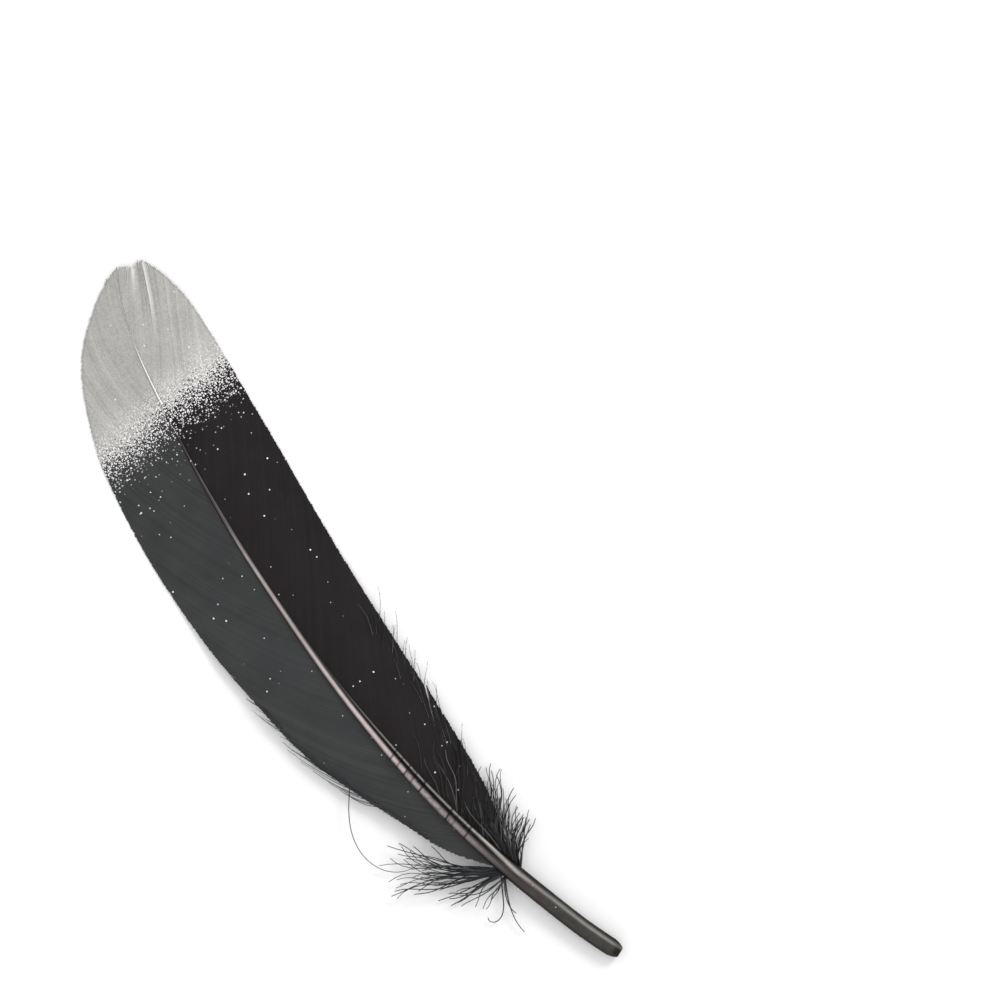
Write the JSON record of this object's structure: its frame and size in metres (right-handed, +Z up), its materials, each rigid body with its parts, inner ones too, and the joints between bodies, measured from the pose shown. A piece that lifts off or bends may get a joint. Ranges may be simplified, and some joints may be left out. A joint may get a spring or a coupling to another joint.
{
  "type": "goose quill feather",
  "caption": "Curved goose quill feather, dyed black with a silver painted tip, with a grooved shaft, two vanes and down at their foot.",
  "frame": {"origin": "middle of the box's bottom: the table under the middle of the feather", "axes": "+X from the quill end to the tip, +Y out to the outer vane, +Z up from the table; the grooved side faces up"},
  "size_m": [0.1787, 0.0396, 0.0057],
  "materials": {
    "dyed_barbs": "satin",
    "quill": "satin",
    "silver_paint": "satin"
  },
  "bodies": {
    "root": {"feather": "dyed_barbs"}
  },
  "joints": []
}
